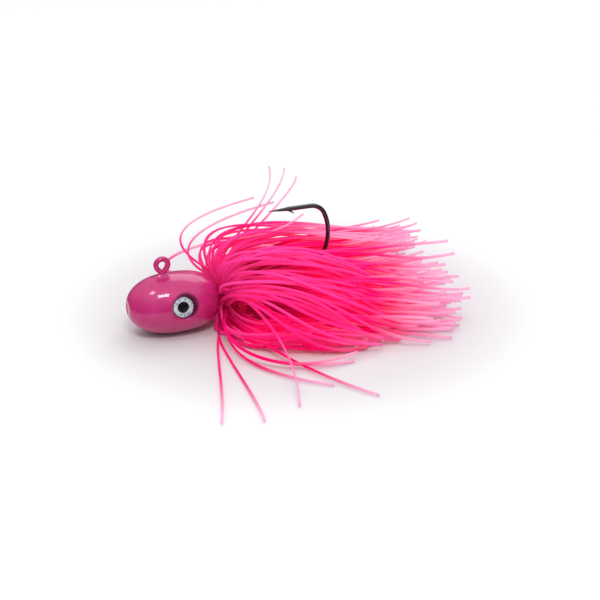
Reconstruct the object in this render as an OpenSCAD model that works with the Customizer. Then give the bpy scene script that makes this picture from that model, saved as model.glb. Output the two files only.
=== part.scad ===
// Skirted fishing jig head, in millimetres.
// A lead head is cast round an upturned jig hook, two domed eyes sit in sockets in
// its cheeks, and a rubber band clamps a skirt of silicone strands round its collar.
//
// Frame: the nose points to -X, the tail to +X, and +Z is up with the hook point
// on top. The origin is the centre of the line tie's hole, whose axis is Y.
// The modules work in head coordinates instead: x from the tip of the nose and z
// from the head's long axis. to_line_tie_frame() makes the change once.

/* [Head casting] */
// Length of the cast head, nose to rear
head_len = 22.3; // [21.8:0.1:23]
// Diameter of the head at its widest
head_dia = 14.3; // [14:0.1:15]
// Fullness of the nose end, where 2 is an ellipse and more is blunter
nose_fullness = 2.2; // [2:0.1:2.6]
// Fullness of the rear end
rear_fullness = 2.5; // [2.2:0.1:2.8]
// Depth that the cut sprue takes off the nose
sprue_cut = 0.25; // [0.15:0.05:0.4]
// Diameter of the dimple left by the sprue
sprue_dimple_dia = 2.6; // [2:0.1:2.8]
// Diameter of the collar that carries the skirt
collar_dia = 3.3; // [2.8:0.1:3.4]

/* [Eyes] */
// Diameter of each domed eye (3/16 inch)
eye_dia = 4.76; // [4.4:0.02:4.9]
// Place of the eyes behind the tip of the nose
eye_x = 11.9; // [11:0.1:12.5]
// Angle of the eyes above the head's side
eye_up = 10.5; // [6:0.5:14]
// Depth of the socket floor below the head's widest surface
eye_recess = 1.3; // [1:0.05:1.4]
// Thickness of the foil disc
foil_t = 0.2; // [0.15:0.05:0.3]
// Crown of the clear resin dome above the foil
dome_h = 0.55; // [0.4:0.05:0.6]
// Diameter of the socket's rounded mouth
socket_mouth_dia = 6.3; // [6:0.1:6.8]

/* [Line tie] */
// Place of the line tie behind the tip of the nose
tie_x = 8.75; // [8:0.05:10]
// Height of the line tie's hole above the head's long axis
tie_height = 9.8; // [9.6:0.05:10.1]
// Diameter of the hole that takes the snap or knot
tie_hole_dia = 1.7; // [1.6:0.05:1.9]
// Diameter of the painted wire in the ring
tie_wire_dia = 1.25; // [1.1:0.05:1.3]

/* [Hook] */
// Diameter of the hook wire
wire_dia = 1.1; // [1:0.05:1.2]
// Gap between the middles of the shank and the point
hook_gap = 19.3; // [19:0.1:19.8]
// Radius of the wide lower part of the bend
bend_r = 12.2; // [11.8:0.1:12.4]
// Angle that the wide part of the bend turns through
bend_turn = 112.5; // [110:0.5:114]
// Distance from the nose to the start of the bend
bend_x = 37.3; // [36.5:0.1:38.5]
// Length of the straight wire before the taper of the point
point_straight = 5.2; // [4.5:0.1:6]
// Length of the tapered point
point_taper = 5.2; // [4.5:0.1:6]

/* [Skirt] */
// Width of a strand
strand_w = 0.7; // [0.5:0.05:0.75]
// Thickness of a strand
strand_t = 0.45; // [0.35:0.05:0.5]
// Distance from the nose to the front of the rubber band
band_x = 25.1; // [25.1:0.1:25.8]
// Width of the rubber band along the collar
band_w = 2.2; // [1.8:0.1:2.4]
// Thickness of the rubber band
band_t = 0.9; // [0.7:0.1:1.2]
// Angle left free of strands on each side of the hook's plane
hook_parting = 13; // [12:0.5:16]

/* [Hidden] */
$fn = 48;

// Head
head_r = head_dia / 2;
head_half = head_len / 2;
floor_z = -head_r;
profile_steps = 44;
sprue_dimple_depth = 0.15;
collar_end_x = band_x + band_w + 0.8;
collar_bevel = 0.5;

// Eyes
eye_seat_r = head_r - eye_recess;
eye_play = 0.1;
dome_edge = 0.12;

// Hook: a straight run of wire is a hair thinner than the bends and reaches into them,
// and a short link joins the two bends, so that the pieces fuse with no shared faces
joint_step = 0.02;
joint_overlap = 0.05;
bend_link = 0.12;
crook_r =
    (hook_gap - bend_r * (1 - cos(bend_turn)) - bend_link * sin(bend_turn))
    / (1 + cos(bend_turn));
neck_r = 2.4;
point_tip_dia = 0.12;
barb_w = 0.35;
// The pin that the ring is formed round presses a flat land this deep into the wire
tie_land_depth = 0.05;
tie_ring_r = (tie_hole_dia + tie_wire_dia) / 2 - tie_land_depth;
// The ring's wire leaves its circle this far from straight down, then runs to the foot
tie_opening = 50;
tie_leg_len = tie_ring_r * tan(tie_opening);
tie_foot_z = tie_height - tie_ring_r / cos(tie_opening);

// Skirt: each tab is a sector of strands, stacked in layers round the collar.
// A slot is [layer, place across the tab], and layer 0 lies on the collar.
tabs = 12;
slots = [
    [0, 0.45], [1, 0.55], [2, 0.25], [2, 0.75], [3, 0.2], [3, 0.7],
    [4, 0.3], [4, 0.8], [5, 0.1], [5, 0.6], [6, 0.35], [6, 0.85]
];
top_layer = 6;
layer_step = 0.5;
collar_play = 0.3;
band_play = 0.05;
layer_r0 = collar_dia / 2 + collar_play;
skirt_root_r = layer_r0 + layer_step * top_layer;
band_inner_r = skirt_root_r + strand_t / 2 + band_play;
band_mid_x = band_x + band_w / 2;
tail_x = band_x + band_w;

// The front half of a strand runs forward out of the band and folds back over it
fold_ahead = 0.2;
fold_rise = 0.65;
fold_x = band_x - fold_ahead;
fold_r = skirt_root_r + fold_rise;
fold_steps = 2;
front_steps = 8;
rear_steps = 5;
stray_steps = 12;
ground_play = 0.05;
lowest_strand_z = floor_z + strand_w / 2 + ground_play;

// Shape of the front strands. A value in square brackets is for [near side (-Y), far side
// (+Y)], and a scatter is how much a value differs between strands.
// A strand leans further back as it leaves the fold, the higher its layer is
lean_forward = 0.4;
lean_per_layer = 0.13;
lean_when_down = 0.1;
lean_scatter = 0.15;
// It reaches further before it bends, the more layers cover it
least_reach = 7;
reach_per_layer = 1.4;
reach_scatter = 8;
// Strands below the parting level leave downwards, but no more steeply than this
parting_level = -0.1;
steepest_drop = -0.5;
// Near the ground they spread to the side instead, both as they leave and at the tip
sideways_when_down = 0.25;
tip_sideways_when_down = 0.6;
// Tips lie behind this place
tip_x = 24;
tip_forward_when_down = 6;
tip_back_scatter = 12;
tip_lift_scatter = 1.5;
least_tail = 17;
tail_len_scatter = 5;
// Each layer rests this much higher above the ground than the one under it
ground_step = 0.25;
tip_back = [20, 36];
tip_back_when_up = [15, 9];
tip_side = [20, 25];
tip_side_spread = [8, 8];
tip_lift = [3, 10];
tip_lift_power = [2, 1.5];
tail_run = [0.8, 0.85];
tail_side = [0.05, 0.45];
tail_fall = [0.25, 0.04];
tail_fall_when_up = [0.75, 0.12];
side_parting = [1, 0.2];
// Share by which the lowest strands reach out further, or less far, before they bend
reach_when_down = [-0.45, 0.25];
// How far the tails of the front strands spread to either side of their common direction
tail_scatter = 0.5;

// Shape of the rear strands, in the same way. The fan is how far the tips spread.
least_fan = 5;
fan_per_layer = 1.75;
fan_scatter = 5;
rear_flare = 0.12;
rear_flare_per_layer = 0.07;
rear_flare_scatter = 0.08;
rear_tip_x = 63;
rear_tip_scatter = 14;
rear_tip_side = -1;
rear_tip_drop = 3.5;
rear_spread = [1.4, 1.25];
rear_rise = 0.6;
rear_tail_side = [-0.22, 0.4];
rear_tail_rise = 0.2;
rear_tail_fall = 0.1;
rear_handle = 20;
rear_ground_play = 1.2;

// Loose strands that have left the skirt, each in a node of its own:
// [tab, slot, how far it leans back as it leaves, reach before it bends, way point, tip]
strays = [
    // near side, over the ground
    [7, 2, -0.6, 9, [14, -30, -5.5], [7, -49, -6.1]],
    [7, 0, -0.5, 9, [19, -33, -6], [16, -51, -6.3]],
    [10, 1, 0.3, 6, [34, -22, -3], [25.5, -46.5, -6.7]],
    [8, 4, -0.5, 10, [19, -28, -6.3], [36, -40, -6.7]],
    [8, 1, 0.4, 16, [33, -34, -6], [43.5, -48, -6.7]],
    [8, 3, -0.7, 14, [25, -36, -6.3], [45.5, -29.5, -5]],
    [8, 5, -0.7, 13, [22, -32, -6], [44.5, -30.5, -6.7]],
    // far side, arching up
    [1, 4, -1.2, 13, [12, 12, 15], [38.5, 22, 13.8]],
    [1, 3, -1, 11, [16.5, 14, 12], [45, 26, 10.2]],
    [2, 0, -1.6, 16, [7, 14, 8], [50, 18, 7]],
    [1, 5, 0.6, 14, [44, 20, 13], [49.5, 42, 13]],
    [1, 7, 0.7, 14, [46, 22, 13], [53.5, 42, 12]],
    [2, 2, 0.8, 14, [48, 20, 14], [56, 40, 10]],
    [0, 1, -0.2, 12, [34, 5, 7], [45.5, 6, 14.9]]
];

function two_digits(n) = str(n < 10 ? "0" : "", n);
function front_node(tab) = str("skirt_front_", two_digits(tab + 1));
function rear_node(tab) = str("skirt_rear_", two_digits(tab + 1));
function stray_node(i) = str("stray_strand_", two_digits(i + 1));

// ---- Places ----

module to_line_tie_frame() {
    translate([-tie_x, 0, -tie_height]) children();
}

// Local +Z runs along the head's long axis, towards the tail
module along_axis(x) {
    translate([x, 0, 0]) rotate([0, 90, 0]) children();
}

// Local +Z points out of the cheek. The left eye looks to -Y and the right one to +Y.
module at_eye(side) {
    translate([eye_x, 0, 0])
        rotate([(side == "left" ? 1 : -1) * (90 - eye_up), 0, 0])
            translate([0, 0, eye_seat_r]) children();
}

// ---- Head casting ----

// Point of the egg's outline as [radius, x], for an angle from 0 at the nose to 180
function egg_point(angle) =
    let (power = 2 / (angle < 90 ? nose_fullness : rear_fullness))
    [
        head_r * pow(sin(angle), power),
        head_half * (1 - sign(cos(angle)) * pow(abs(cos(angle)), power))
    ];

module egg() {
    along_axis(0)
        rotate_extrude()
            polygon([for (i = [0 : profile_steps]) egg_point(180 * i / profile_steps)]);
}

module collar() {
    along_axis(head_half) cylinder(d = collar_dia, h = collar_end_x - collar_bevel - head_half);
    along_axis(collar_end_x - collar_bevel)
        cylinder(d1 = collar_dia, d2 = collar_dia - collar_bevel, h = collar_bevel);
}

module sprue_flat() {
    along_axis(-head_half) cylinder(d = head_dia, h = head_half + sprue_cut);
    along_axis(0) cylinder(d = sprue_dimple_dia, h = sprue_cut + sprue_dimple_depth);
}

// The socket's wall opens outwards, and goes on at the same slope past the surface
module eye_socket() {
    floor_dia = eye_dia + 2 * eye_play;
    flare = socket_mouth_dia - floor_dia;
    cylinder(d1 = floor_dia, d2 = floor_dia + 2 * flare, h = 2 * eye_recess);
}

module head_casting() {
    color("palevioletred")
        difference() {
            union() {
                egg();
                collar();
            }
            sprue_flat();
            at_eye("left") eye_socket();
            at_eye("right") eye_socket();
            hook_steel();
        }
}

// ---- Eyes ----

module eye_foil(side) {
    color("silver") at_eye(side) cylinder(d = eye_dia, h = foil_t);
}

module eye_dome(side) {
    crown = dome_h - dome_edge;
    dome_r = (pow(eye_dia / 2, 2) + pow(crown, 2)) / (2 * crown);
    color("lightcyan")
        at_eye(side)
            translate([0, 0, foil_t])
                intersection() {
                    cylinder(d = eye_dia, h = dome_h);
                    translate([0, 0, dome_h - dome_r]) sphere(r = dome_r, $fn = 96);
                }
}

// ---- Hook ----

// Wire of the hook: each piece starts at the local origin along +Z, and its children
// start where it ends. turn() bends towards local +X.
module run(length) {
    translate([0, 0, -joint_overlap])
        cylinder(d = wire_dia - joint_step, h = length + 2 * joint_overlap);
    translate([0, 0, length]) children();
}

module turn(radius, angle) {
    translate([radius, 0, 0])
        rotate([90, 0, 180])
            rotate_extrude(angle = angle) translate([radius, 0]) circle(d = wire_dia);
    translate([radius * (1 - cos(angle)), 0, radius * sin(angle)])
        rotate([0, angle, 0]) children();
}

// The barb is a sliver raised from the wire on the side of the gap
module point() {
    cylinder(d1 = wire_dia, d2 = point_tip_dia, h = point_taper);
    rotate([90, 0, 0])
        linear_extrude(barb_w, center = true)
            polygon([[0.2, -0.3], [1.5, -1.4], [0.4, 0.5], [0.2, 0.5]]);
}

module tie_ring() {
    difference() {
        rotate([90, 0, 0]) union() {
            rotate([0, 0, tie_opening - 90])
                rotate_extrude(angle = 360 - 2 * tie_opening)
                    translate([tie_ring_r, 0]) circle(d = tie_wire_dia);
            for (flip = [0, 1])
                mirror([flip, 0, 0])
                    rotate([0, 0, tie_opening - 90])
                        translate([tie_ring_r, -tie_leg_len, 0])
                            rotate([-90, 0, 0])
                                cylinder(
                                    d = tie_wire_dia - joint_step,
                                    h = tie_leg_len + joint_overlap
                                );
        }
        // the hole, with its flat land
        rotate([90, 0, 0]) cylinder(d = tie_hole_dia, h = 2 * tie_wire_dia, center = true);
    }
    translate([0, 0, tie_foot_z - tie_height]) sphere(d = tie_wire_dia);
}

module hook_steel() {
    translate([tie_x, 0, tie_height]) tie_ring();
    shank_len = bend_x - tie_x - neck_r;
    translate([tie_x, 0, tie_foot_z])
        rotate([180, 0, 0])
            run(tie_foot_z - neck_r)
                turn(neck_r, 90)
                    run(shank_len)
                        turn(bend_r, bend_turn)
                            run(bend_link)
                                turn(crook_r, 180 - bend_turn)
                                    run(point_straight)
                                        point();
}

module hook() {
    color("dimgray") hook_steel();
}

// ---- Skirt ----

module skirt_band() {
    ring_r = band_inner_r + band_t / 2;
    color("deeppink")
        along_axis(band_x)
            rotate_extrude() {
                for (end = [band_t / 2, band_w - band_t / 2])
                    translate([ring_r, end]) circle(d = band_t);
                translate([band_inner_r, band_t / 2]) square([band_t, band_w - band_t]);
            }
}

function unit(v) = v / norm(v);

// Directions out from the collar and round it, for an azimuth from the top towards +Y
function outward(azimuth) = [0, sin(azimuth), cos(azimuth)];
function around(azimuth) = [0, cos(azimuth), -sin(azimuth)];

function layer(slot) = slots[slot][0];
function layer_r(slot) = layer_r0 + layer_step * layer(slot);
function azimuth(tab, slot) =
    hook_parting + (tab + slots[slot][1]) * (360 - 2 * hook_parting) / tabs;

// A number from 0 to 1 that differs from strand to strand, for each choice of prime
function vary(tab, slot, prime) =
    let (turns = (tab * len(slots) + slot + 1) * sqrt(prime))
    turns - floor(turns);

function bezier(p, steps) = [
    for (i = [0 : steps])
        let (t = i / steps, u = 1 - t)
        u * u * u * p[0] + 3 * u * u * t * p[1] + 3 * u * t * t * p[2] + t * t * t * p[3]
];

function not_below(path, z) = [for (p = path) [p.x, p.y, max(p.z, z)]];

// From the middle of the band forward and round the fold, up to where it points outward
function fold_path(tab, slot) =
    let (
        out = outward(azimuth(tab, slot)),
        r = fold_r - layer_r(slot)
    )
    concat(
        [[band_mid_x, 0, 0] + layer_r(slot) * out],
        [
            for (i = [0 : fold_steps - 1])
                let (a = 90 * i / fold_steps)
                [fold_x - r * sin(a), 0, 0] + (fold_r - r * cos(a)) * out
        ]
    );

function fold_end(tab, slot) =
    [fold_x - fold_r + layer_r(slot), 0, 0] + fold_r * outward(azimuth(tab, slot));

// Front half of a strand: it leaves the fold outwards, arches over and falls to its tip.
// Strands under the head can't go down through the ground, so they spread to the sides.
function front_path(tab, slot) =
    let (
        out = outward(azimuth(tab, slot)),
        far = out.y > 0 ? 1 : 0,
        up = max(0, out.z),
        down = max(0, -out.z),
        side = sign(out.y) * pow(abs(out.y), 1 - tip_sideways_when_down * down),
        lean = lean_per_layer * layer(slot) - lean_forward + lean_scatter * vary(tab, slot, 2)
            + lean_when_down * down,
        reach = least_reach + reach_per_layer * (top_layer - layer(slot))
            + reach_scatter * vary(tab, slot, 3),
        parting = side_parting[far] * sign(out.z - parting_level) * pow(1 - abs(out.z), 2),
        leaving = unit([
            lean,
            side * (1 + sideways_when_down * down),
            max(out.z + parting, steepest_drop)
        ]),
        back = tip_back[far] + tip_back_when_up[far] * up - tip_forward_when_down * down * down
            + tip_back_scatter * vary(tab, slot, 5),
        tip = [
            tip_x + back,
            side * (tip_side[far] + tip_side_spread[far] * vary(tab, slot, 7)),
            lowest_strand_z + tip_lift[far] * pow(up, tip_lift_power[far])
                + tip_lift_scatter * vary(tab, slot, 11)
        ],
        tail = unit([
            tail_run[far],
            tail_side[far] * side + tail_scatter * (vary(tab, slot, 19) - 0.5),
            -tail_fall[far] - tail_fall_when_up[far] * up
        ]),
        start = fold_end(tab, slot)
    )
    concat(
        fold_path(tab, slot),
        not_below(
            bezier(
                [
                    start,
                    start + reach * (1 + reach_when_down[far] * down) * leaving,
                    tip - (least_tail + tail_len_scatter * vary(tab, slot, 13)) * tail,
                    tip
                ],
                front_steps
            ),
            lowest_strand_z + ground_step * layer(slot)
        )
    );

// Rear half of a strand: it runs back from the band round the shank and fans out
function rear_path(tab, slot) =
    let (
        out = outward(azimuth(tab, slot)),
        far = out.y > 0 ? 1 : 0,
        root = layer_r(slot) * out,
        fan = least_fan + fan_per_layer * layer(slot) + fan_scatter * vary(tab, slot, 7),
        flare = rear_flare + rear_flare_per_layer * layer(slot)
            + rear_flare_scatter * vary(tab, slot, 3),
        leaving = unit([1, 0, 0] + flare * out),
        tip = [
            rear_tip_x + rear_tip_scatter * vary(tab, slot, 5),
            rear_spread[far] * fan * out.y + rear_tip_side,
            rear_rise * fan * out.z - rear_tip_drop
        ],
        tail = unit([
            1,
            rear_tail_side[far] * abs(out.y),
            rear_tail_rise * out.z - rear_tail_fall
        ])
    )
    concat(
        [[band_mid_x, 0, 0] + root],
        not_below(
            bezier(
                [
                    [tail_x, 0, 0] + root,
                    [tail_x, 0, 0] + root + rear_handle * leaving,
                    tip - rear_handle * tail,
                    tip
                ],
                rear_steps
            ),
            lowest_strand_z + rear_ground_play
        )
    );

function stray_path(stray) =
    let (
        tab = stray[0],
        slot = stray[1],
        start = fold_end(tab, slot),
        leaving = unit([stray[2], 0, 0] + outward(azimuth(tab, slot)))
    )
    concat(
        fold_path(tab, slot),
        not_below(
            bezier([start, start + stray[3] * leaving, stray[4], stray[5]], stray_steps),
            lowest_strand_z
        )
    );

// Corners of a strand's flat section at each point of its path
function section_corners(path, across) = [
    for (i = [0 : len(path) - 1])
        let (
            before = path[max(i - 1, 0)],
            after = path[min(i + 1, len(path) - 1)],
            forward = unit(after - before),
            w = unit(across - (across * forward) * forward) * strand_w / 2,
            n = cross(forward, unit(w)) * strand_t / 2
        )
        each [path[i] + w + n, path[i] - w + n, path[i] - w - n, path[i] + w - n]
];

// Triangles of one closed strand whose first corner has the index `first`
function strand_faces(rings, first) =
    let (last = first + 4 * (rings - 1))
    concat(
        [[first, first + 1, first + 2], [first, first + 2, first + 3]],
        [
            for (ring = [0 : rings - 2], k = [0 : 3])
                let (
                    a = first + 4 * ring + k,
                    b = first + 4 * ring + (k + 1) % 4
                )
                each [[a, a + 4, b + 4], [a, b + 4, b]]
        ],
        [[last, last + 2, last + 1], [last, last + 3, last + 2]]
    );

// A set of strands of one shape rule, as separate closed shells
module strands(paths, azimuths) {
    rings = len(paths[0]);
    polyhedron(
        points = [
            for (i = [0 : len(paths) - 1])
                each section_corners(paths[i], around(azimuths[i]))
        ],
        faces = [
            for (i = [0 : len(paths) - 1])
                each strand_faces(rings, 4 * rings * i)
        ]
    );
}

function is_stray(tab, slot) =
    len([for (stray = strays) if (stray[0] == tab && stray[1] == slot) stray]) > 0;

module skirt_front(tab) {
    kept = [for (slot = [0 : len(slots) - 1]) if (!is_stray(tab, slot)) slot];
    color("hotpink")
        strands(
            [for (slot = kept) front_path(tab, slot)],
            [for (slot = kept) azimuth(tab, slot)]
        );
}

module skirt_rear(tab) {
    every = [for (slot = [0 : len(slots) - 1]) slot];
    color("deeppink")
        strands(
            [for (slot = every) rear_path(tab, slot)],
            [for (slot = every) azimuth(tab, slot)]
        );
}

module stray_strand(stray) {
    color("lightpink") strands([stray_path(stray)], [azimuth(stray[0], stray[1])]);
}

// ---- Assembly ----

to_line_tie_frame() {
    head_casting();
    hook();
    skirt_band();
    eye_foil("left");  // eye_foil_left
    eye_foil("right");  // eye_foil_right
    eye_dome("left");  // eye_dome_left
    eye_dome("right");  // eye_dome_right
    for (tab = [0 : tabs - 1]) {
        skirt_front(tab);
        skirt_rear(tab);
    }
    for (i = [0 : len(strays) - 1])
        stray_strand(strays[i]);
}
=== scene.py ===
"""Looks of the skirted jig head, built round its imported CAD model.

Lengths are in millimetres in head coordinates until they are placed: x runs from the tip
of the nose and z from the head's long axis. row() turns them into the row frame's metres.
"""

import math

import bpy
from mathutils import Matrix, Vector


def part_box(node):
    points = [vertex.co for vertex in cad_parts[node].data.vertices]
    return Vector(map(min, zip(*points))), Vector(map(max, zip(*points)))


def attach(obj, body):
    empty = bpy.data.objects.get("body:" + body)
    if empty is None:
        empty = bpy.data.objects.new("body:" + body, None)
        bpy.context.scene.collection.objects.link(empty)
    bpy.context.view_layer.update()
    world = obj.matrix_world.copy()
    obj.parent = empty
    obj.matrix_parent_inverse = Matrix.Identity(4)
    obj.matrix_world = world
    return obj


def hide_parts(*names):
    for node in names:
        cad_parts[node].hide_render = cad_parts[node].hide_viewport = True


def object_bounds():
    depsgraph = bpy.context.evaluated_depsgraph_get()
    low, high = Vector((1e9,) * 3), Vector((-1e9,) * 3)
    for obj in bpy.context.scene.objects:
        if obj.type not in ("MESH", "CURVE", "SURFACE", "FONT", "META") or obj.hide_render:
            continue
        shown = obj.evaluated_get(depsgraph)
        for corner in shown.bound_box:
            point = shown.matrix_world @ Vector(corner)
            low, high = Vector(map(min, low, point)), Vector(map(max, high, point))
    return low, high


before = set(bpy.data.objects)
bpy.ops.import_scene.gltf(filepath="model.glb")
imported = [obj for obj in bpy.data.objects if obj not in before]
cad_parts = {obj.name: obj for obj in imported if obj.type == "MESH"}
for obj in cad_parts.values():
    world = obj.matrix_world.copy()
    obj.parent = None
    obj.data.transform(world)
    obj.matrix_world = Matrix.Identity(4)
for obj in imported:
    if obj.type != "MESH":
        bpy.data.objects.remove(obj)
cad_low, cad_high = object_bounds()

MM = 0.001

# Head
HEAD_LEN = 22.3
NOSE_FULLNESS = 2.2
REAR_FULLNESS = 2.5
SPRUE_CUT = 0.25
SPRUE_DIMPLE_R = 1.3
SPRUE_DIMPLE_DEPTH = 0.15
COLLAR_R = 1.65

# Eyes
EYE_X = 11.9
EYE_UP = math.radians(10.5)
EYE_RECESS = 1.3
SOCKET_FLOOR_R = 2.48
SOCKET_MOUTH_R = 3.15
SOCKET_RIM_REACH = 3.5
# Painted shade in the sockets: how far its middle lies to the rear and up, and the radius where it
# is full
SOCKET_SHADE_OFFSET = 0.55
SOCKET_SHADE_R = 2.7
SOCKET_LEAN = 0.55
SOCKET_LEAN_ANGLE = math.radians(40)
PUPIL_R = 1.3

head_low, head_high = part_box("head_casting")
HEAD_R = (head_high.z - head_low.z) / 2 / MM
TIE_X = -head_low.x / MM + SPRUE_CUT
TIE_HEIGHT = -head_low.z / MM - HEAD_R
COLLAR_END = head_high.x / MM + TIE_X

# Skirt
STRAND_W = 0.7
STRAND_T = 0.45
# The skirt is parted at the top, over the hook, by this many degrees to each side
HOOK_PARTING = 13
TABS = 12
# Strands of one tab: (layer, share of the tab's width)
SLOTS = (
    (0, 0.45), (1, 0.55), (2, 0.25), (2, 0.75), (3, 0.2), (3, 0.7),
    (4, 0.3), (4, 0.8), (5, 0.1), (5, 0.6), (6, 0.35), (6, 0.85),
)
TOP_LAYER = 6
LAYER_STEP = 0.5
COLLAR_PLAY = 0.3
LAYER_R0 = COLLAR_R + COLLAR_PLAY
ROOT_R = LAYER_R0 + LAYER_STEP * TOP_LAYER
band_low, band_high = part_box("skirt_band")
BAND_X = band_low.x / MM + TIE_X
TAIL_X = band_high.x / MM + TIE_X
BAND_MID_X = (BAND_X + TAIL_X) / 2
FOLD_AHEAD = 0.2
FOLD_RISE = 0.65
FOLD_X = BAND_X - FOLD_AHEAD
FOLD_R = ROOT_R + FOLD_RISE
GROUND_PLAY = 0.05
LOWEST_Z = -HEAD_R + STRAND_W / 2 + GROUND_PLAY

# Shape of the front strands. A pair of values is for (near side, far side), and a scatter is
# how much a value differs between strands.
# A strand leans further back as it leaves the fold, the higher its layer is
LEAN_FORWARD = 0.4
LEAN_PER_LAYER = 0.13
LEAN_WHEN_DOWN = 0.1
LEAN_SCATTER = 0.15
# It reaches further before it bends, the more layers cover it
LEAST_REACH = 7
REACH_PER_LAYER = 1.4
REACH_SCATTER = 8
# On the sides, strands above this level leave upwards and the others downwards, but no more
# steeply than the steepest drop
PARTING_LEVEL = -0.1
STEEPEST_DROP = -0.5
# Near the ground they spread to the side instead, both as they leave and at the tip
SIDEWAYS_WHEN_DOWN = 0.25
TIP_SIDEWAYS_WHEN_DOWN = 0.6
# Tips lie further back than this place
TIP_X = 24
TIP_FORWARD_WHEN_DOWN = 6
TIP_BACK_SCATTER = 12
TIP_LIFT_SCATTER = 1.5
# Length over which a strand straightens towards its tip
LEAST_TAIL = 17
TAIL_LEN_SCATTER = 5
# Each layer rests this much higher above the ground than the one under it
GROUND_STEP = 0.25
TIP_BACK = (20, 36)
TIP_BACK_WHEN_UP = (15, 9)
TIP_SIDE = (20, 25)
TIP_SIDE_SPREAD = (8, 8)
TIP_LIFT = (3, 10)
TIP_LIFT_POWER = (2, 1.5)
TAIL_RUN = (0.8, 0.85)
TAIL_SIDE = (0.05, 0.45)
TAIL_FALL = (0.25, 0.04)
TAIL_FALL_WHEN_UP = (0.75, 0.12)
SIDE_PARTING = (1, 0.2)
REACH_WHEN_DOWN = (-0.45, 0.25)
TAIL_SCATTER = 0.5

# Shape of the rear strands, in the same way. The fan is how far the tips spread.
LEAST_FAN = 5
FAN_PER_LAYER = 1.75
FAN_SCATTER = 5
REAR_FLARE = 0.12
REAR_FLARE_PER_LAYER = 0.07
REAR_FLARE_SCATTER = 0.08
REAR_TIP_X = 63
REAR_TIP_SCATTER = 14
REAR_TIP_SIDE = -1
REAR_TIP_DROP = 3.5
REAR_SPREAD = (1.4, 1.25)
REAR_RISE = 0.6
REAR_TAIL_SIDE = (-0.22, 0.4)
REAR_TAIL_RISE = 0.2
REAR_TAIL_FALL = 0.1
REAR_HANDLE = 20
REAR_GROUND_PLAY = 1.2

# Loose strands: (tab, slot, lean, reach, way point, tip)
STRAYS = (
    (7, 2, -0.6, 9, (14, -30, -5.5), (7, -49, -6.1)),
    (7, 0, -0.5, 9, (19, -33, -6), (16, -51, -6.3)),
    (10, 1, 0.3, 6, (34, -22, -3), (25.5, -46.5, -6.7)),
    (8, 4, -0.5, 10, (19, -28, -6.3), (36, -40, -6.7)),
    (8, 1, 0.4, 16, (33, -34, -6), (43.5, -48, -6.7)),
    (8, 3, -0.7, 14, (25, -36, -6.3), (45.5, -29.5, -5)),
    (8, 5, -0.7, 13, (22, -32, -6), (44.5, -30.5, -6.7)),
    (1, 4, -1.2, 13, (12, 12, 15), (38.5, 22, 13.8)),
    (1, 3, -1, 11, (16.5, 14, 12), (45, 26, 10.2)),
    (2, 0, -1.6, 16, (7, 14, 8), (50, 18, 7)),
    (1, 5, 0.6, 14, (44, 20, 13), (49.5, 42, 13)),
    (1, 7, 0.7, 14, (46, 22, 13), (53.5, 42, 12)),
    (2, 2, 0.8, 14, (48, 20, 14), (56, 40, 10)),
    (0, 1, -0.2, 12, (34, 5, 7), (45.5, 6, 14.9)),
)


def row(p):
    """A point in head millimetres, in the row frame's metres"""
    return Vector((p[0] - TIE_X, p[1], p[2] - TIE_HEIGHT)) * MM


# ---- Material helpers ----

# Noise is nearly always between these two values
NOISE_SPAN = (0.3, 0.7)
# Numbers of the Mix node's colour sockets
MIX_A, MIX_B, MIX_RESULT = 6, 7, 2


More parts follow.
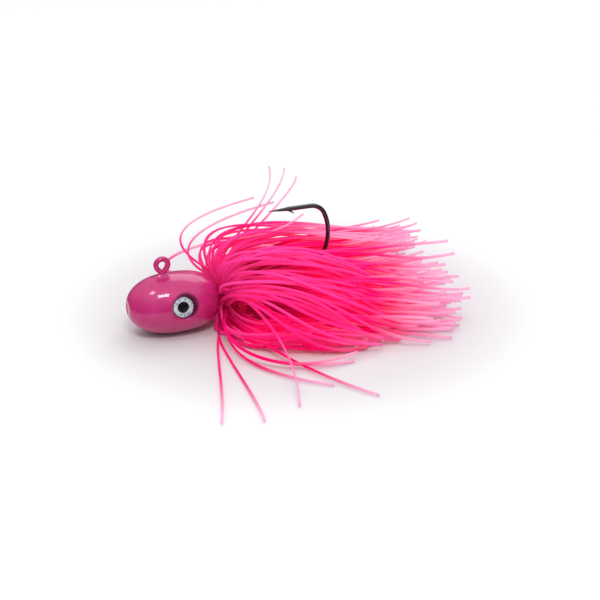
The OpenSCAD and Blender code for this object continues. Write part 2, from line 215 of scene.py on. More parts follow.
class Nodes:
    """A short way to write a node tree"""

    def __init__(self, tree):
        self.tree = tree
        tree.nodes.clear()

    def add(self, kind, settings=None, **inputs):
        """A new node. settings are its attributes, and inputs its sockets with _ for spaces."""
        node = self.tree.nodes.new(kind)
        for name, value in (settings or {}).items():
            setattr(node, name, value)
        for name, value in inputs.items():
            self.feed(node.inputs[name.replace("_", " ")], value)
        return node

    def feed(self, socket, value):
        if isinstance(value, bpy.types.NodeSocket):
            self.tree.links.new(value, socket)
        else:
            socket.default_value = value

    def place(self):
        """Coordinates in millimetres in the row frame"""
        scale = self.add("ShaderNodeVectorMath", {"operation": "SCALE"})
        self.feed(scale.inputs[0], self.add("ShaderNodeTexCoord").outputs["Object"])
        self.feed(scale.inputs["Scale"], 1 / MM)
        return scale.outputs[0]

    def distance(self, a, b):
        node = self.add("ShaderNodeVectorMath", {"operation": "DISTANCE"})
        self.feed(node.inputs[0], a)
        self.feed(node.inputs[1], b)
        return node.outputs["Value"]

    def math(self, operation, a, b):
        node = self.add("ShaderNodeMath", {"operation": operation})
        self.feed(node.inputs[0], a)
        self.feed(node.inputs[1], b)
        return node.outputs[0]

    def ramp(self, value, low, high, to_low=0.0, to_high=1.0):
        """value taken smoothly from the range low..high to the range to_low..to_high"""
        node = self.add("ShaderNodeMapRange", {"interpolation_type": "SMOOTHSTEP"})
        for i, x in enumerate((value, low, high, to_low, to_high)):
            self.feed(node.inputs[i], x)
        return node.outputs[0]

    def noise(self, scale, detail, where=None):
        """Noise from 0 to 1 with features about 1 / scale millimetres across"""
        node = self.add("ShaderNodeTexNoise", Scale=scale, Detail=detail)
        self.feed(node.inputs["Vector"], where or self.place())
        return node.outputs["Fac"]

    def patches(self, low, high, scale, detail=2.0, where=None):
        """Smooth patches of values from low to high, about 1 / scale millimetres across"""
        return self.ramp(self.noise(scale, detail, where), *NOISE_SPAN, low, high)

    def mix(self, share, a, b):
        node = self.add("ShaderNodeMix", {"data_type": "RGBA"})
        self.feed(node.inputs["Factor"], share)
        self.feed(node.inputs[MIX_A], a)
        self.feed(node.inputs[MIX_B], b)
        return node.outputs[MIX_RESULT]

    def bump(self, height, depth_mm, strength):
        node = self.add("ShaderNodeBump", Strength=strength, Distance=depth_mm * MM)
        self.feed(node.inputs["Height"], height)
        return node.outputs["Normal"]

    def mix_shader(self, share, a, b):
        node = self.add("ShaderNodeMixShader")
        for i, x in enumerate((share, a, b)):
            self.feed(node.inputs[i], x)
        return node.outputs[0]

    def output(self, surface):
        node = self.add("ShaderNodeOutputMaterial")
        self.feed(node.inputs["Surface"], surface)


def new_material(name):
    """A material, and the Nodes of its emptied tree"""
    material = bpy.data.materials.new(name)
    material.use_nodes = True
    return material, Nodes(material.node_tree)


ENAMEL = (0.59, 0.022, 0.19, 1)
ENAMEL_DEEP = (0.51, 0.013, 0.15, 1)
# Painted shade: the dark enamel colour painted on the walls of the eyes' sockets
ENAMEL_SOCKET_SHADE = (0.10, 0.001, 0.03, 1)
# Painted shade: share of its gloss coat that the enamel loses where shade is painted in the sockets
SOCKET_SHADE_DULLNESS = 0.65


def painted_socket_shade(n, where):
    """Painted shade: 1 on the walls of the eyes' sockets, reaching furthest to their rear and top,
    and 0 outside them
    """
    share = 0.0
    for side, name in ((-1, "eye_foil_left"), (1, "eye_foil_right")):
        low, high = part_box(name)
        deepest = (low + high) / 2 / MM + SOCKET_SHADE_OFFSET * socket_lean(side)
        reach = n.distance(where, deepest)
        share = n.math("MAXIMUM", share, n.ramp(reach, SOCKET_SHADE_R, SOCKET_RIM_REACH, 1.0, 0.0))
    return share


def enamel_shader(n):
    """Glossy pink enamel: slow changes of tone, painted shade in the eyes' sockets, a faint orange
    peel and a clear gloss coat
    """
    where = n.place()
    tone = n.patches(0.0, 1.0, 0.25, 3, where)
    peel = n.noise(1.6, 2, where)
    paint = n.mix(tone, ENAMEL_DEEP, ENAMEL)
    # Painted shade on the sockets' walls: a darker colour and less gloss coat
    socket_shade = painted_socket_shade(n, where)
    return n.add(
        "ShaderNodeBsdfPrincipled",
        Base_Color=n.mix(socket_shade, paint, ENAMEL_SOCKET_SHADE),
        Roughness=n.patches(0.28, 0.38, 0.8, 3),
        Specular_IOR_Level=0.15,
        Coat_Weight=n.math("SUBTRACT", 1.0, n.math("MULTIPLY", socket_shade, SOCKET_SHADE_DULLNESS)),
        Coat_IOR=1.5,
        Coat_Roughness=n.patches(0.03, 0.08, 2.0),
        Normal=n.bump(peel, 0.012, 0.5),
    ).outputs[0]


def enamel():
    material, n = new_material("pink_enamel")
    n.output(enamel_shader(n))
    return material


# Between these distances behind the line tie the hook's enamel ends and its steel starts
ENAMEL_END = (6.0, 6.2)
NICKEL_DARK = (0.03, 0.03, 0.034, 1)
NICKEL_LIGHT = (0.10, 0.10, 0.105, 1)


def hook_finish():
    """Enamel on the line tie, and black nickel on the wire behind the head"""
    material, n = new_material("hook_finish")
    where = n.place()
    x = n.add("ShaderNodeSeparateXYZ", Vector=where).outputs["X"]
    grain = n.noise(9.0, 4, where)
    steel = n.add(
        "ShaderNodeBsdfPrincipled",
        Base_Color=n.mix(grain, NICKEL_DARK, NICKEL_LIGHT),
        Metallic=1.0,
        Roughness=n.patches(0.14, 0.26, 3.0, 3, where),
        Coat_Weight=1.0,
        Coat_Roughness=0.08,
        Normal=n.bump(grain, 0.01, 0.4),
    ).outputs[0]
    behind_head = n.ramp(x, *ENAMEL_END)
    n.output(n.mix_shader(behind_head, enamel_shader(n), steel))
    return material


# The pupil's printed edge wanders by this much, and is this soft
PUPIL_RAGGEDNESS = 0.06
PUPIL_EDGE = 0.10
PUPIL_BLACK = (0.004, 0.004, 0.005, 1)
GLITTER_SILVER = (0.90, 0.92, 0.93, 1)
GLITTER_LILAC = (0.66, 0.60, 0.88, 1)
GLITTER_DARK = (0.16, 0.18, 0.19, 1)
# Noise values at which a lilac or a dark patch starts and is full
LILAC_PATCH = (0.52, 0.68)
DARK_PATCH = (0.48, 0.66)
RAINBOW_SHARE = 0.18
DARK_SHARE = 0.75
# Painted light: a glow that stands for the glitter's sparkle
FOIL_PAINTED_GLOW = 0.28


def foil(side):
    """Silver foil with a printed black pupil, fine glitter, a faint rainbow and a painted glow in
    its silver
    """
    material, n = new_material("eye_foil_" + side)
    low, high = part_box("eye_foil_" + side)
    middle = (low + high) / 2 / MM
    where = n.place()
    uneven = n.ramp(n.noise(3.0, 2, where), 0, 1, -PUPIL_RAGGEDNESS, PUPIL_RAGGEDNESS)
    ragged = n.math("ADD", n.distance(where, middle), uneven)
    iris = n.ramp(ragged, PUPIL_R, PUPIL_R + PUPIL_EDGE)
    cells = n.add("ShaderNodeTexVoronoi", Vector=where, Scale=4.5)
    hue = n.add("ShaderNodeHueSaturation", Saturation=0.22, Value=1.0, Color=cells.outputs["Color"])
    glitter = n.mix(RAINBOW_SHARE, GLITTER_SILVER, hue.outputs[0])
    lilac = n.mix(n.ramp(n.noise(0.7, 1, where), *LILAC_PATCH), glitter, GLITTER_LILAC)
    dark = n.ramp(n.noise(1.6, 4, where), *DARK_PATCH)
    silver = n.mix(n.math("MULTIPLY", dark, DARK_SHARE), lilac, GLITTER_DARK)
    surface = n.add(
        "ShaderNodeBsdfPrincipled",
        Base_Color=n.mix(iris, PUPIL_BLACK, silver),
        Metallic=n.math("MULTIPLY", iris, 0.12),
        Roughness=0.42,
        Specular_IOR_Level=0.1,
        # Painted light: the silver glows a little
        Emission_Color=silver,
        Emission_Strength=n.math("MULTIPLY", iris, FOIL_PAINTED_GLOW),
        Normal=n.bump(cells.outputs["Distance"], 0.02, 0.4),
    )
    n.output(surface.outputs[0])
    return material


RESIN_TINT = (0.97, 0.98, 0.99, 1)


def clear_resin():
    """A clear dome: what is under it shows through, and its surface shines"""
    material, n = new_material("clear_resin")
    clear = n.add("ShaderNodeBsdfTransparent", Color=RESIN_TINT).outputs[0]
    shine = n.add(
        "ShaderNodeBsdfGlossy",
        Roughness=n.patches(0.02, 0.07, 1.5),
        Normal=n.bump(n.noise(1.2, 1), 0.01, 0.3),
    ).outputs[0]
    n.output(n.mix_shader(n.add("ShaderNodeFresnel", IOR=1.5).outputs[0], clear, shine))
    return material


# Painted light: a steady pink glow that lifts the strands in the shade, standing for the fluorescent
# pigment, which gives back a little more pink light than a plain one would
PAINTED_GLOW = 0.16
# Painted light: strands are mixed from deep to light pink by their tone, which is partly random and
# partly painted light, lighter for upper and far strands and deeper for rear ones
SILICONE_DEEP_SHADED = (1.0, 0.0, 0.26, 1)
SILICONE_LIGHT_LIT = (1.0, 0.085, 0.48, 1)
# Painted shade: dark red on the strands near the root, where they pack together
SILICONE_ROOT_SHADE = (0.42, 0.0, 0.015, 1)
SILICONE_PALE = (1.0, 0.60, 0.82, 1)
# Parts of a strand's length over which it leaves the imported root and its painted shade there ends,
# over which it pales, and over which it clears
ROOT_SHADE_END = (0.08, 0.36)
PALING = (0.62, 0.95)
CLEARING = (0.6, 1.0)
MOST_ROOT_SHADE = 0.9
MOST_PALE = 0.9
MOST_CLEAR = 0.35
TRANSLUCENT_SHARE = 0.38


def silicone():
    """Translucent pink silicone: paler and clearer towards the tip of each strand. Its tone is
    partly painted light, lighter as if lit and deeper as if shaded; painted shade darkens it near
    the root, and it glows a little as painted light.
    """
    material, n = new_material("skirt_silicone")
    along = n.add("ShaderNodeAttribute", {"attribute_name": "along"}).outputs["Fac"]
    tone = n.add("ShaderNodeAttribute", {"attribute_name": "tone"}).outputs["Fac"]
    # Painted light and random tone: lit strands lighter, shaded ones deeper
    hue = n.mix(tone, SILICONE_DEEP_SHADED, SILICONE_LIGHT_LIT)
    # Painted shade near the root, less of it on lighter strands
    near_root = n.ramp(along, *ROOT_SHADE_END, MOST_ROOT_SHADE, 0.0)
    root_shade = n.math("MULTIPLY", near_root, n.math("SUBTRACT", 1.0, tone))
    body = n.mix(root_shade, hue, SILICONE_ROOT_SHADE)
    pale = n.mix(n.ramp(along, *PALING, 0.0, MOST_PALE), body, SILICONE_PALE)
    speck = n.noise(5.0, 3)
    surface = n.add(
        "ShaderNodeBsdfPrincipled",
        Base_Color=pale,
        Roughness=n.patches(0.34, 0.50, 1.2),
        Specular_IOR_Level=0.18,
        # Painted light: a steady glow in the strand's own colour
        Emission_Color=pale,
        Emission_Strength=PAINTED_GLOW,
        Normal=n.bump(speck, 0.01, 0.4),
    ).outputs[0]
    through = n.add("ShaderNodeBsdfTranslucent", Color=pale).outputs[0]
    solid = n.mix_shader(TRANSLUCENT_SHARE, surface, through)
    clear = n.add("ShaderNodeBsdfTransparent").outputs[0]
    n.output(n.mix_shader(n.ramp(along, *CLEARING, 0.0, MOST_CLEAR), solid, clear))
    return material


BAND_DARK = (0.62, 0.012, 0.12, 1)
BAND_LIGHT = (0.75, 0.03, 0.19, 1)


def band_rubber():
    """Pink rubber with a soft shine"""
    material, n = new_material("band_rubber")
    surface = n.add(
        "ShaderNodeBsdfPrincipled",
        Base_Color=n.mix(n.noise(1.0, 3), BAND_DARK, BAND_LIGHT),
        Roughness=n.patches(0.45, 0.6, 2.0),
        Normal=n.bump(n.noise(4.0, 3), 0.02, 0.5),
    )
    n.output(surface.outputs[0])
    return material


# ---- Mesh helpers ----


def new_piece(name, points, faces, material, attributes=None):
    """A smooth mesh that rides with the head. points are in head millimetres."""
    mesh = bpy.data.meshes.new(name)
    mesh.from_pydata([row(p) for p in points], [], faces)
    mesh.shade_smooth()
    for key, values in (attributes or {}).items():
        mesh.attributes.new(key, "FLOAT", "POINT").data.foreach_set("value", values)
    mesh.materials.append(material)
    piece = bpy.data.objects.new(name, mesh)
    bpy.context.scene.collection.objects.link(piece)
    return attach(piece, "root")


def soft_min(a, b, blend):
    """The smaller of a and b, rounded where they cross"""
    share = max(blend - abs(a - b), 0) / blend
    return min(a, b) - share * share * blend / 4


def soft_max(a, b, blend):
    """The larger of a and b, rounded where they cross"""
    return -soft_min(-a, -b, blend)


def smoothstep(low, high, value):
    """0 up to low and 1 from high on, with a smooth step between them"""
    t = min(max((value - low) / (high - low), 0), 1)
    return t * t * (3 - 2 * t)


# ---- Head ----

EGG_STEPS = 300
COLLAR_STEPS = 24
AROUND = 384
PAINT_ROUNDING = 0.35
SOCKET_ROUNDING = 0.2
SPRUE_ROUNDING = 0.15
# Start and end of the sprue dimple's rim, as shares of its radius
DIMPLE_RIM = (0.8, 1.1)
PAINT_FOOT_LENGTH = 1.5
PAINT_FOOT_WIDTH = 0.85
PAINT_FOOT_HEIGHT = 1.0


def egg_point(angle):
    """(radius, x) of the egg's outline, for an angle from 0 at the nose to pi"""
    power = 2 / (NOSE_FULLNESS if angle < math.pi / 2 else REAR_FULLNESS)
    c = math.cos(angle)
    radius = HEAD_R * math.sin(angle) ** power
    return radius, HEAD_LEN / 2 * (1 - math.copysign(abs(c) ** power, c))


def head_outline():
    """(radius, x) from just off the nose's middle to the end of the collar"""
    egg = [egg_point(math.pi * (i + 0.5) / EGG_STEPS) for i in range(EGG_STEPS)]
    egg = [p for p in egg if p[0] > COLLAR_R or p[1] < HEAD_LEN / 2]
    start = egg[-1][1]
    collar = [
        (COLLAR_R, start + (COLLAR_END - start) * (i + 1) / COLLAR_STEPS)
        for i in range(COLLAR_STEPS)
    ]
    return egg + collar


def eye_out(side):
    """Direction that an eye looks in, for a side of -1 on the left and 1 on the right"""
    return Vector((0, side * math.cos(EYE_UP), math.sin(EYE_UP)))


def socket_lean(side):
    """Direction across an eye in which its socket opens widest: to the rear and up"""
    upward = Vector((0, -side * math.sin(EYE_UP), math.cos(EYE_UP)))
    return math.cos(SOCKET_LEAN_ANGLE) * Vector((1, 0, 0)) + math.sin(SOCKET_LEAN_ANGLE) * upward


def sink_eye(p, side):
    """p moved in to the eye's socket, if it is over it"""
    out = eye_out(side)
    rel = p - Vector((EYE_X, 0, 0))
    height = rel.dot(out)
    if height <= 0:
        return p
    offset = rel - height * out
    across = offset.length
    widening = SOCKET_LEAN * offset.dot(socket_lean(side)) / max(across, SOCKET_FLOOR_R)
    slope = EYE_RECESS / (SOCKET_MOUTH_R - SOCKET_FLOOR_R + widening * (widening > 0))
    wall = HEAD_R - EYE_RECESS + slope * soft_max(across - SOCKET_FLOOR_R, 0, SOCKET_ROUNDING)
    return p + (soft_min(height, wall, PAINT_ROUNDING) - height) * out


def shape_nose(p):
    """The cut sprue: a flat with a soft rim, and a shallow dimple"""
    rim_start, rim_end = (SPRUE_DIMPLE_R * share for share in DIMPLE_RIM)
    dimple = SPRUE_DIMPLE_DEPTH * (1 - smoothstep(rim_start, rim_end, math.hypot(p.y, p.z)))
    return Vector((soft_max(p.x, SPRUE_CUT, SPRUE_ROUNDING) + dimple, p.y, p.z))


def raise_paint(p):
    """The enamel's fillet where the line tie leaves the head, longer than it is wide"""
    if p.z <= 0:
        return p
    spread = ((p.x - TIE_X) / PAINT_FOOT_LENGTH) ** 2 + (p.y / PAINT_FOOT_WIDTH) ** 2
    return p + Vector((0, 0, PAINT_FOOT_HEIGHT * math.exp(-spread)))


def make_head(material):
    """The head and its collar, with both sockets, the cut sprue and the paint round the line tie"""
    points = []
    outline = head_outline()
    for radius, x in outline:
        for k in range(AROUND):
            a = 2 * math.pi * k / AROUND
            p = shape_nose(Vector((x, radius * math.sin(a), radius * math.cos(a))))
            points.append(raise_paint(sink_eye(sink_eye(p, -1), 1)))
    faces = [
        (
            ring * AROUND + k,
            ring * AROUND + (k + 1) % AROUND,
            (ring + 1) * AROUND + (k + 1) % AROUND,
            (ring + 1) * AROUND + k,
        )
        for ring in range(len(outline) - 1)
        for k in range(AROUND)
    ]
    faces.append(tuple(reversed(range(AROUND))))
    faces.append(tuple((len(outline) - 1) * AROUND + k for k in range(AROUND)))
    head = new_piece("head", points, faces, material)
    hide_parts("head_casting")


# ---- Skirt ----

SECTION_CORNERS = 8
# A power that makes a strand's section an ellipse at 1, and squarer the smaller it is
SECTION_SQUARENESS = 0.6
FOLD_STEPS = 6
CURVE_STEPS = 40
FLOOR_SOFTNESS = 0.5
# Painted light: least tone of the top and far strands, painted lighter as if lit, and most tone of
# the rear ones, painted deeper as if shaded
UPPER_PAINTED_LIGHT = 0.7
FAR_PAINTED_LIGHT = 0.65
REAR_PAINTED_SHADE = 0.25

# Twins lie side by side after this share of their length, and part further towards their tips
TWIN_GAP = 0.42
TWIN_ROOT_SHARE = 0.25
REAR_TWIN_SPREAD = 1.6
FRONT_TWIN_SPREAD = 1.4
TWIN_TONE_STEP = 0.1
# The near side's upper quarter, where a CAD strand is drawn as one strand and not as twins
SINGLE_TABS = range(9, 12)

# How far a strand wavers to a side at its tip, and how many times on the way there
WAVER = 1.1
WAVER_TURNS = 1.3
WAVER_TURNS_PER_TONE = 5
WAVER_TURNS_BETWEEN_TWINS = 0.3

# How far along its fading from pink to pale each kind of strand gets by its tip
NEAR_FADE = 0.76
FAR_FADE = 1.2
REAR_FADE = 0.95
NEAR_STRAY_FADE = 0.95
FAR_STRAY_FADE = 1.3


def outward(azimuth):
    """Direction out from the head's long axis: up at 0, and to the far side at a right angle"""
    return Vector((0, math.sin(azimuth), math.cos(azimuth)))


def around(azimuth):
    """Direction round the head's long axis at that azimuth"""
    return Vector((0, math.cos(azimuth), -math.sin(azimuth)))


def layer_r(slot):
    return LAYER_R0 + LAYER_STEP * SLOTS[slot][0]


def azimuth_of(tab, slot):
    sector = (360 - 2 * HOOK_PARTING) / TABS
    return math.radians(HOOK_PARTING + (tab + SLOTS[slot][1]) * sector)


def vary(tab, slot, prime):
    """A number from 0 to 1 that differs from strand to strand, for each choice of prime"""
    return ((tab * len(SLOTS) + slot + 1) * math.sqrt(prime)) % 1


def bezier(p, steps):
    """Points along the cubic curve with the four control points p"""
    return [
        (1 - t) ** 3 * p[0] + 3 * (1 - t) ** 2 * t * p[1] + 3 * (1 - t) * t * t * p[2] + t**3 * p[3]
        for t in (i / steps for i in range(steps + 1))
    ]


def not_below(path, z):
    """A path whose points under z are lifted to it, with a soft change where it gets there"""
    return [Vector((p.x, p.y, soft_max(p.z, z, FLOOR_SOFTNESS))) for p in path]


def fold_path(tab, slot):
    """Start of a front half: from the middle of the band forward, and round most of the fold"""
    out = outward(azimuth_of(tab, slot))
    r = FOLD_R - layer_r(slot)
    path = [Vector((BAND_MID_X, 0, 0)) + layer_r(slot) * out]
    for i in range(FOLD_STEPS):
        a = math.pi / 2 * i / FOLD_STEPS
        path.append(Vector((FOLD_X - r * math.sin(a), 0, 0)) + (FOLD_R - r * math.cos(a)) * out)
    return path


def fold_end(tab, slot):
    """Where a front half leaves the fold"""
    return Vector((FOLD_X - FOLD_R + layer_r(slot), 0, 0)) + FOLD_R * outward(azimuth_of(tab, slot))


def front_path(tab, slot):
    """Front half of a strand: it leaves the fold outwards, arches over and falls to its tip"""
    layer = SLOTS[slot][0]
    out = outward(azimuth_of(tab, slot))
    far = 1 if out.y > 0 else 0
    up = max(0, out.z)
    down = max(0, -out.z)
    side = math.copysign(abs(out.y) ** (1 - TIP_SIDEWAYS_WHEN_DOWN * down), out.y)
    lean = LEAN_PER_LAYER * layer - LEAN_FORWARD + LEAN_SCATTER * vary(tab, slot, 2)
    lean += LEAN_WHEN_DOWN * down
    reach = LEAST_REACH + REACH_PER_LAYER * (TOP_LAYER - layer) + REACH_SCATTER * vary(tab, slot, 3)
    parting = SIDE_PARTING[far] * math.copysign((1 - abs(out.z)) ** 2, out.z - PARTING_LEVEL)
    drop = max(out.z + parting, STEEPEST_DROP)
    leaving = Vector((lean, side * (1 + SIDEWAYS_WHEN_DOWN * down), drop)).normalized()
    back = TIP_BACK[far] + TIP_BACK_WHEN_UP[far] * up - TIP_FORWARD_WHEN_DOWN * down * down
    back += TIP_BACK_SCATTER * vary(tab, slot, 5)
    lift = TIP_LIFT[far] * up ** TIP_LIFT_POWER[far] + TIP_LIFT_SCATTER * vary(tab, slot, 11)
    spread = TIP_SIDE[far] + TIP_SIDE_SPREAD[far] * vary(tab, slot, 7)
    tip = Vector((TIP_X + back, side * spread, LOWEST_Z + lift))
    fall = TAIL_FALL[far] + TAIL_FALL_WHEN_UP[far] * up
    scatter = TAIL_SCATTER * (vary(tab, slot, 19) - 0.5)
    tail = Vector((TAIL_RUN[far], TAIL_SIDE[far] * side + scatter, -fall)).normalized()
    start = fold_end(tab, slot)
    curve = bezier(
        (
            start,
            start + reach * (1 + REACH_WHEN_DOWN[far] * down) * leaving,
            tip - (LEAST_TAIL + TAIL_LEN_SCATTER * vary(tab, slot, 13)) * tail,
            tip,
        ),
        CURVE_STEPS,
    )
    return fold_path(tab, slot) + not_below(curve, LOWEST_Z + GROUND_STEP * layer)


def rear_path(tab, slot):
    """Rear half of a strand: it runs back from the band round the shank and fans out"""
    layer = SLOTS[slot][0]
    out = outward(azimuth_of(tab, slot))
    far = 1 if out.y > 0 else 0
    root = layer_r(slot) * out
    fan = LEAST_FAN + FAN_PER_LAYER * layer + FAN_SCATTER * vary(tab, slot, 7)
    flare = REAR_FLARE + REAR_FLARE_PER_LAYER * layer + REAR_FLARE_SCATTER * vary(tab, slot, 3)
    leaving = (Vector((1, 0, 0)) + flare * out).normalized()
    tip_x = REAR_TIP_X + REAR_TIP_SCATTER * vary(tab, slot, 5)
    tip_y = REAR_SPREAD[far] * fan * out.y + REAR_TIP_SIDE
    tip = Vector((tip_x, tip_y, REAR_RISE * fan * out.z - REAR_TIP_DROP))
    tail_z = REAR_TAIL_RISE * out.z - REAR_TAIL_FALL
    tail = Vector((1, REAR_TAIL_SIDE[far] * abs(out.y), tail_z)).normalized()
    start = Vector((TAIL_X, 0, 0)) + root
    handles = (start + REAR_HANDLE * leaving, tip - REAR_HANDLE * tail)
    curve = bezier((start, *handles, tip), CURVE_STEPS)
    return [Vector((BAND_MID_X, 0, 0)) + root] + not_below(curve, LOWEST_Z + REAR_GROUND_PLAY)


def stray_path(stray):
    """Front half of a loose strand, which bends towards its way point and ends at its tip"""
    tab, slot, lean, reach, way_point, tip = stray
    start = fold_end(tab, slot)
    leaving = (Vector((lean, 0, 0)) + outward(azimuth_of(tab, slot))).normalized()
    curve = bezier((start, start + reach * leaving, Vector(way_point), Vector(tip)), CURVE_STEPS)
    return fold_path(tab, slot) + not_below(curve, LOWEST_Z)


def lit_tone_of(tab, slot):
    """From 0 for the deepest pink to 1: upper and far strands are painted light as if lit, and few
    of the others are light, at random
    """
    out = outward(azimuth_of(tab, slot))
    least = max(UPPER_PAINTED_LIGHT * math.sqrt(max(0, out.z)), FAR_PAINTED_LIGHT if out.y > 0 else 0)
    return least + (1 - least) * vary(tab, slot, 17) ** 3


def forward_at(path, i):
    """Direction of a path at its point i"""
    return (path[min(i + 1, len(path) - 1)] - path[max(i - 1, 0)]).normalized()


def across_at(path, i, azimuth):
    """Direction of a strand's width at point i of its path"""
    forward = forward_at(path, i)
    across = around(azimuth)
    return (across - across.dot(forward) * forward).normalized()


def waver(strand, side=0, spread=0):
    """A strand that wavers more and more towards its tip.

    side is -1 or 1 for one of two twins, which start side by side and part towards the tip.
    """
    path, azimuth, tone = strand
    points = []
    for i, p in enumerate(path):
        t = i / (len(path) - 1)
        turns = WAVER_TURNS * t + WAVER_TURNS_PER_TONE * tone + WAVER_TURNS_BETWEEN_TWINS * side
        swing = WAVER * t * math.sin(2 * math.pi * turns)
        parting = side * (TWIN_GAP * min(t / TWIN_ROOT_SHARE, 1) + spread * t * t)
        points.append(p + (swing + parting) * across_at(path, i, azimuth))
    return not_below(points, LOWEST_Z), azimuth, min(max(tone + TWIN_TONE_STEP * side, 0), 1)


def twins(strand, spread):
    """The two strands that one CAD strand stands for"""
    return [waver(strand, -1, spread), waver(strand, 1, spread)]


def section(w, n):
    """Offsets of a flat section's rounded outline, w and n being its half-axes"""
    offsets = []
    for k in range(SECTION_CORNERS):
        a = 2 * math.pi * (k + 0.5) / SECTION_CORNERS
        c = math.copysign(abs(math.cos(a)) ** SECTION_SQUARENESS, math.cos(a))
        s = math.copysign(abs(math.sin(a)) ** SECTION_SQUARENESS, math.sin(a))
        offsets.append(c * w + s * n)
    return offsets


def make_strands(name, strands, fade, material):
    """One piece of several strands, each (path, azimuth, tone), that fade towards their tips"""
    points, faces, along, tones = [], [], [], []
    for path, azimuth, tone in strands:
        first = len(points)
        for i, p in enumerate(path):
            w = across_at(path, i, azimuth)
            n = forward_at(path, i).cross(w)
            points += [p + offset for offset in section(w * STRAND_W / 2, n * STRAND_T / 2)]
            along += [fade * i / (len(path) - 1)] * SECTION_CORNERS
            tones += [tone] * SECTION_CORNERS
        for i in range(len(path) - 1):
            a = first + i * SECTION_CORNERS
            b = a + SECTION_CORNERS
            for k in range(SECTION_CORNERS):
                m = (k + 1) % SECTION_CORNERS
                faces.append((a + k, a + m, b + m, b + k))
        faces.append(tuple(first + k for k in reversed(range(SECTION_CORNERS))))
        last = first + (len(path) - 1) * SECTION_CORNERS
        faces.append(tuple(last + k for k in range(SECTION_CORNERS)))
    piece = new_piece(name, points, faces, material, {"along": along, "tone": tones})
    return piece


def make_skirt(material):
    """A front and a rear piece for each tab, and a piece for each loose strand"""
    loose = {(stray[0], stray[1]) for stray in STRAYS}
    every = range(len(SLOTS))
    for tab in range(TABS):
        kept = [slot for slot in every if (tab, slot) not in loose]
        front = [(front_path(tab, s), azimuth_of(tab, s), lit_tone_of(tab, s)) for s in kept]
        rear = [(rear_path(tab, s), azimuth_of(tab, s), REAR_PAINTED_SHADE * vary(tab, s, 17)) for s in every]
        number = f"{tab + 1:02d}"
        if tab in SINGLE_TABS:
            front = [waver(strand) for strand in front]
        else:
            front = [twin for strand in front for twin in twins(strand, FRONT_TWIN_SPREAD)]
        rear = [twin for strand in rear for twin in twins(strand, REAR_TWIN_SPREAD)]
        fade = FAR_FADE if tab < TABS / 2 else NEAR_FADE
        front_piece = make_strands("front_strands_" + number, front, fade, material)
        rear_piece = make_strands("rear_strands_" + number, rear, REAR_FADE, material)
        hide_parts("skirt_front_" + number)
        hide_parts("skirt_rear_" + number)
    for i, stray in enumerate(STRAYS):
        tab, slot = stray[:2]
        strand = (stray_path(stray), azimuth_of(tab, slot), lit_tone_of(tab, slot))
        number = f"{i + 1:02d}"
        fade = FAR_STRAY_FADE if tab < TABS / 2 else NEAR_STRAY_FADE
        piece = make_strands("loose_strand_" + number, [strand], fade, material)
        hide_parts("stray_strand_" + number)


# ---- Carried-over nodes ----


def finish_node(node, material):
    """Gives a CAD node its finish. The node itself stays as it is."""
    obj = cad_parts[node]
    obj.data.materials.clear()
    obj.data.materials.append(material)
    obj.data.shade_smooth()


# ---- Stage, light and camera ----

SENSOR = 36
LENS = 125
# Millimetres that the picture is wide at the place that the camera aims at
VIEW_WIDTH = 142.5
VIEW_AZIMUTH = math.radians(-20)
VIEW_ELEVATION = math.radians(25)
AIM = (42.5, 0, -4.5)

# Half the floor's width, in metres
FLOOR_HALF = 3.0
# Painted shade: the pale sheet is painted darker round the head than further out, and changes
# between these distances
SHEET_PAINTED_SHADE = (0.70, 0.70, 0.715, 1)
SHEET_FAR = (0.90, 0.90, 0.905, 1)
SHADE_EDGE = (38, 66)
# Painted reflection: what shines reflects the sheet up to its edge, and past it the floor is painted
# dim for glossy rays only, standing for a dim room
SHEET_EDGE = (45, 80)
PAINTED_ROOM_REFLECTION = (0.06, 0.06, 0.06, 1)

# Soft lights: (name, azimuth, elevation, distance and size in metres, power)
SOFTBOXES = (
    ("strip_light", -11, 54, 0.9, (0.28, 0.15), 2.3),
    ("small_light", -63, 65, 0.9, (0.16, 0.14), 0.7),
    ("back_light", 140, 50, 1.2, (0.9, 0.7), 3.2),
)
# The studio's light grows from the first strength to the second between these heights
SKY_HEIGHTS = (0.05, 0.9)
SKY_STRENGTHS = (0.18, 0.95)


def direction(azimuth, elevation):
    """Unit vector towards a place seen at that azimuth from -Y and elevation"""
    return Vector(
        (
            math.sin(azimuth) * math.cos(elevation),
            -math.cos(azimuth) * math.cos(elevation),
            math.sin(elevation),
        )
    )


def make_camera():
    data = bpy.data.cameras.new("camera")
    data.sensor_width = SENSOR
    data.lens = LENS
    data.clip_start = 0.01
    data.clip_end = 50
    camera = bpy.data.objects.new("camera", data)
    bpy.context.scene.collection.objects.link(camera)
    back = direction(VIEW_AZIMUTH, VIEW_ELEVATION)
    camera.location = row(AIM) + back * (VIEW_WIDTH * MM * LENS / SENSOR)
    camera.rotation_euler = (-back).to_track_quat("-Z", "Y").to_euler()
    bpy.context.scene.camera = camera


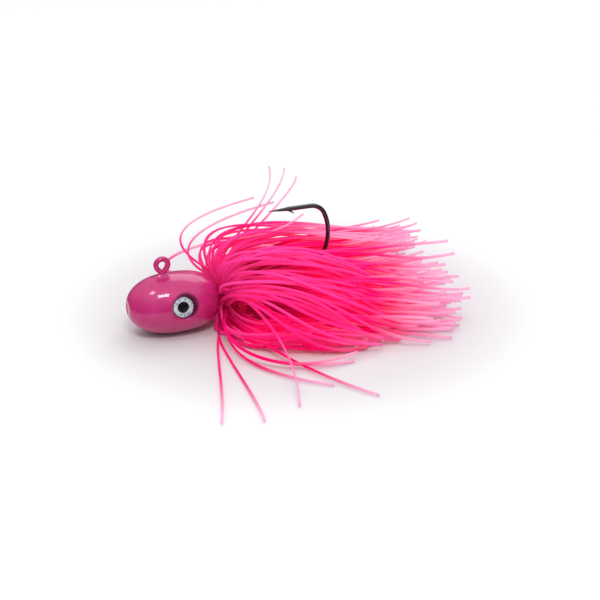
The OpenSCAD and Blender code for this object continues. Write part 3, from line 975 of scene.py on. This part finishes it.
def make_floor():
    mesh = bpy.data.meshes.new("floor")
    corners = [
        (x * FLOOR_HALF, y * FLOOR_HALF, cad_low.z) for x, y in ((-1, -1), (1, -1), (1, 1), (-1, 1))
    ]
    mesh.from_pydata(corners, [], [(0, 1, 2, 3)])
    material, n = new_material("pale_floor")
    reach = n.distance(n.place(), row(AIM) / MM)
    # Painted reflection: past the sheet's edge the floor is dim to glossy rays only
    glossy = n.add("ShaderNodeLightPath").outputs["Is Glossy Ray"]
    dim = n.math("MULTIPLY", n.ramp(reach, *SHEET_EDGE), glossy)
    # Painted shade: the sheet is painted darker round the head
    sheet = n.mix(n.ramp(reach, *SHADE_EDGE), SHEET_PAINTED_SHADE, SHEET_FAR)
    n.output(
        n.add(
            "ShaderNodeBsdfPrincipled",
            Base_Color=n.mix(dim, sheet, PAINTED_ROOM_REFLECTION),
            Roughness=0.7,
            Specular_IOR_Level=0.15,
        ).outputs[0]
    )
    mesh.materials.append(material)
    floor = bpy.data.objects.new("floor", mesh)
    bpy.context.scene.collection.objects.link(floor)


def make_softbox(name, azimuth, elevation, distance, size, power):
    """A rectangular light that faces the head"""
    data = bpy.data.lights.new(name, "AREA")
    data.shape = "RECTANGLE"
    data.size, data.size_y = size
    data.energy = power
    light = bpy.data.objects.new(name, data)
    bpy.context.scene.collection.objects.link(light)
    target = row((HEAD_LEN, 0, 0))
    back = direction(math.radians(azimuth), math.radians(elevation))
    light.location = target + back * distance
    light.rotation_euler = (-back).to_track_quat("-Z", "Y").to_euler()


def make_world():
    """Soft studio light: bright overhead, and dimmer low down"""
    world = bpy.data.worlds.new("studio")
    bpy.context.scene.world = world
    world.use_nodes = True
    n = Nodes(world.node_tree)
    where = n.add("ShaderNodeTexCoord").outputs["Generated"]
    z = n.add("ShaderNodeSeparateXYZ", Vector=where).outputs["Z"]
    strength = n.ramp(z, *SKY_HEIGHTS, *SKY_STRENGTHS)
    light = n.add("ShaderNodeBackground", Color=(1, 1, 1, 1), Strength=strength)
    output = n.add("ShaderNodeOutputWorld")
    n.feed(output.inputs["Surface"], light.outputs[0])


def main():
    bpy.context.scene.view_settings.view_transform = "Standard"
    make_camera()
    make_world()
    make_floor()
    for softbox in SOFTBOXES:
        make_softbox(*softbox)

    make_head(enamel())
    finish_node("hook", hook_finish())
    finish_node("skirt_band", band_rubber())
    for side in ("left", "right"):
        finish_node("eye_foil_" + side, foil(side))
        finish_node("eye_dome_" + side, clear_resin())
    make_skirt(silicone())


main()
